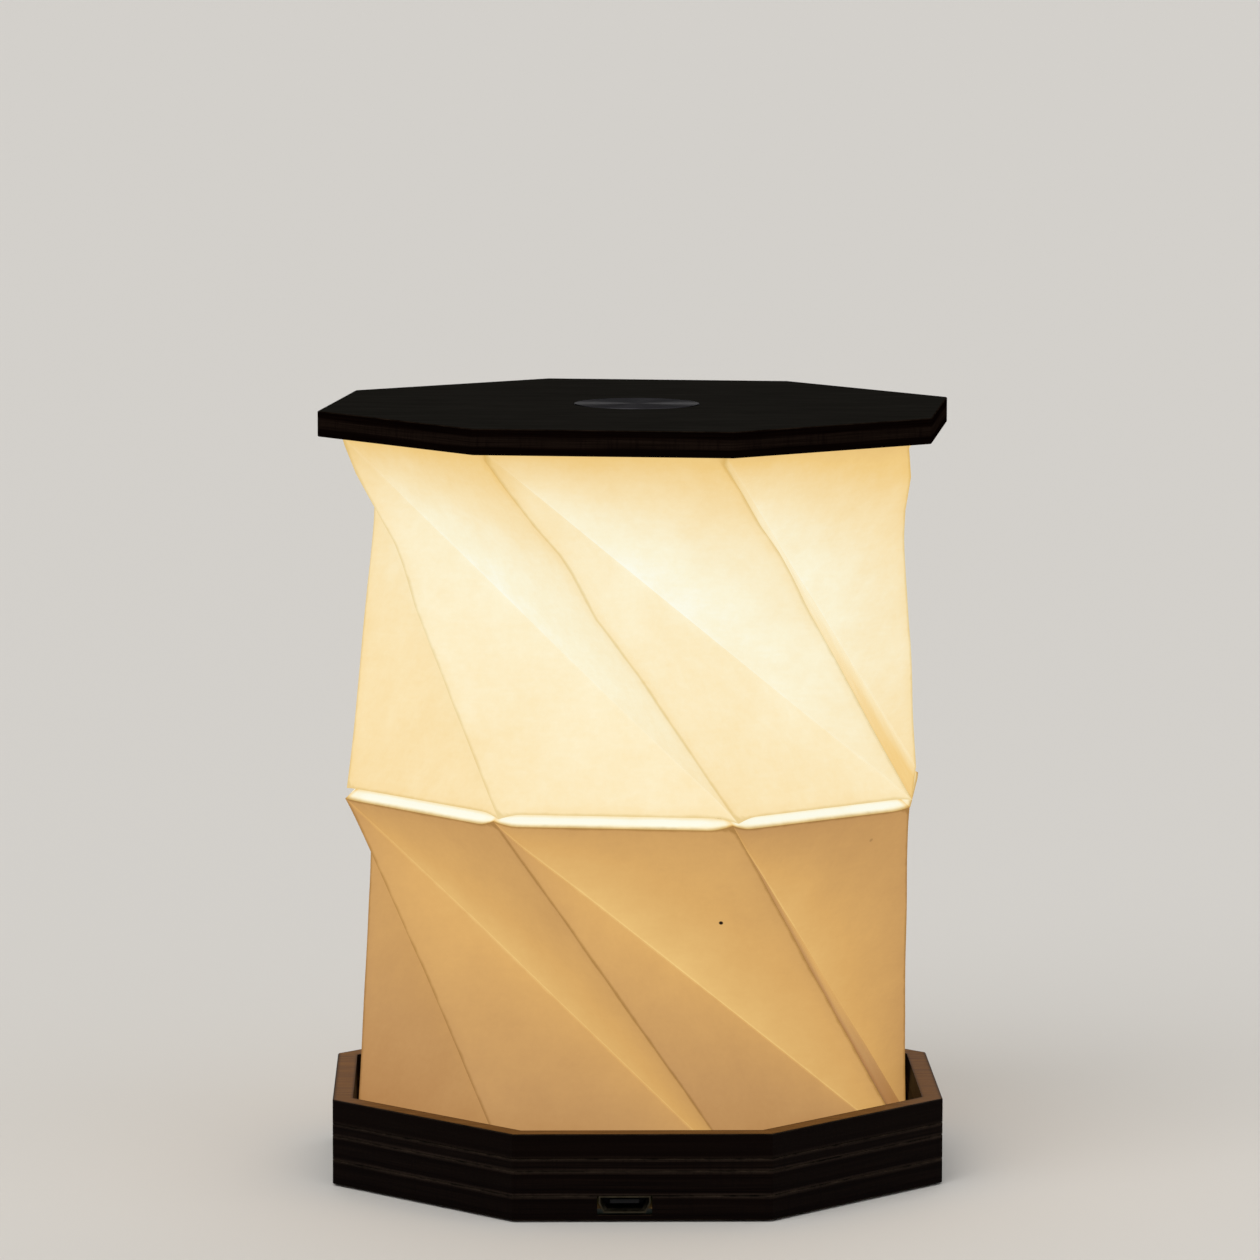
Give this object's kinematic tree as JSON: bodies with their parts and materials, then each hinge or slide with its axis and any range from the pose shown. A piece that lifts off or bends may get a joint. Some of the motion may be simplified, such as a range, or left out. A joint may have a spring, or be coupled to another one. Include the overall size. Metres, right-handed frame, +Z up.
{
  "type": "folding paper table lamp",
  "caption": "Small rechargeable table lamp whose twisted, pleated paper shade folds flat into an octagonal wooden tray base, with a touch switch on its top plate.",
  "frame": {"origin": "middle of the octagonal footprint, at the height of the surface the lamp stands on", "axes": "+Z up along the shade's axis; the charging socket faces -Y; +X to the right of it"},
  "size_m": [0.1046, 0.1046, 0.1269],
  "materials": {
    "dark_plywood": "stained plywood, satin, laser-cut edge",
    "brown_plywood": "stained plywood, satin",
    "grey_board": "matt card",
    "shade_paper": "matt translucent paper",
    "rubber": "matt",
    "steel": "satin",
    "disc_metal": "fine circular brushing",
    "circuit_board": "solder resist",
    "white_board": "white solder resist",
    "black_plastic": "matt",
    "white_plastic": "matt",
    "cell_foil": "pouch foil, satin",
    "wire_jacket": "satin",
    "lead_jacket": "satin",
    "light_chip": "phosphor",
    "milky_plastic": "satin, translucent",
    "brass": "satin"
  },
  "bodies": {
    "base": {"base_bottom_plate": "dark_plywood", "base_lower_ring": "dark_plywood", "base_thin_ring": "dark_plywood", "base_rim": "brown_plywood", "rubber_feet": "rubber", "floor_panel": "grey_board", "floor_screws": "steel", "charge_board": "circuit_board", "usb_socket_shell": "steel", "usb_socket_tongue": "black_plastic", "charge_board_parts": "black_plastic", "base_lead_plug": "white_plastic", "battery_cell": "cell_foil", "battery_protection_board": "circuit_board", "battery_leads": "wire_jacket", "main_lead": "lead_jacket"},
    "lower_shade": {"shade_lower": "shade_paper"},
    "mid": {"mid_frame": "grey_board"},
    "upper_shade": {"shade_upper": "shade_paper"},
    "top": {"top_plate": "dark_plywood", "touch_disc": "disc_metal", "touch_contact": "brass", "clamp_ring": "grey_board", "clamp_screws": "steel", "light_board": "white_board", "light_emitters": "light_chip", "light_board_parts": "black_plastic", "light_board_screws": "steel", "top_lead_plug": "white_plastic", "light_diffuser": "milky_plastic"}
  },
  "joints": [
    {"name": "lower_lift", "type": "slide", "parent": "base", "child": "lower_shade", "axis": [0, 0, -1], "range_m": [0, 0.05405], "deforming": ["shade_lower", "main_lead"]},
    {"name": "lower_twist", "type": "hinge", "parent": "lower_shade", "child": "mid", "pos_m": [0, 0, 0.0638], "axis": [0, 0, 1], "range_deg": [-40.2, 0]},
    {"name": "upper_lift", "type": "slide", "parent": "mid", "child": "upper_shade", "axis": [0, 0, -1], "range_m": [0, 0.05405], "deforming": ["shade_upper"]},
    {"name": "upper_twist", "type": "hinge", "parent": "upper_shade", "child": "top", "pos_m": [0, 0, 0.1226], "axis": [0, 0, 1], "range_deg": [-42.3, 0]}
  ],
  "couplings": [
    {"joint": "lower_twist", "follows": "lower_lift", "rad_per_m": -12.98},
    {"joint": "upper_lift", "follows": "lower_lift", "ratio": 1},
    {"joint": "upper_twist", "follows": "lower_lift", "rad_per_m": -13.658}
  ]
}
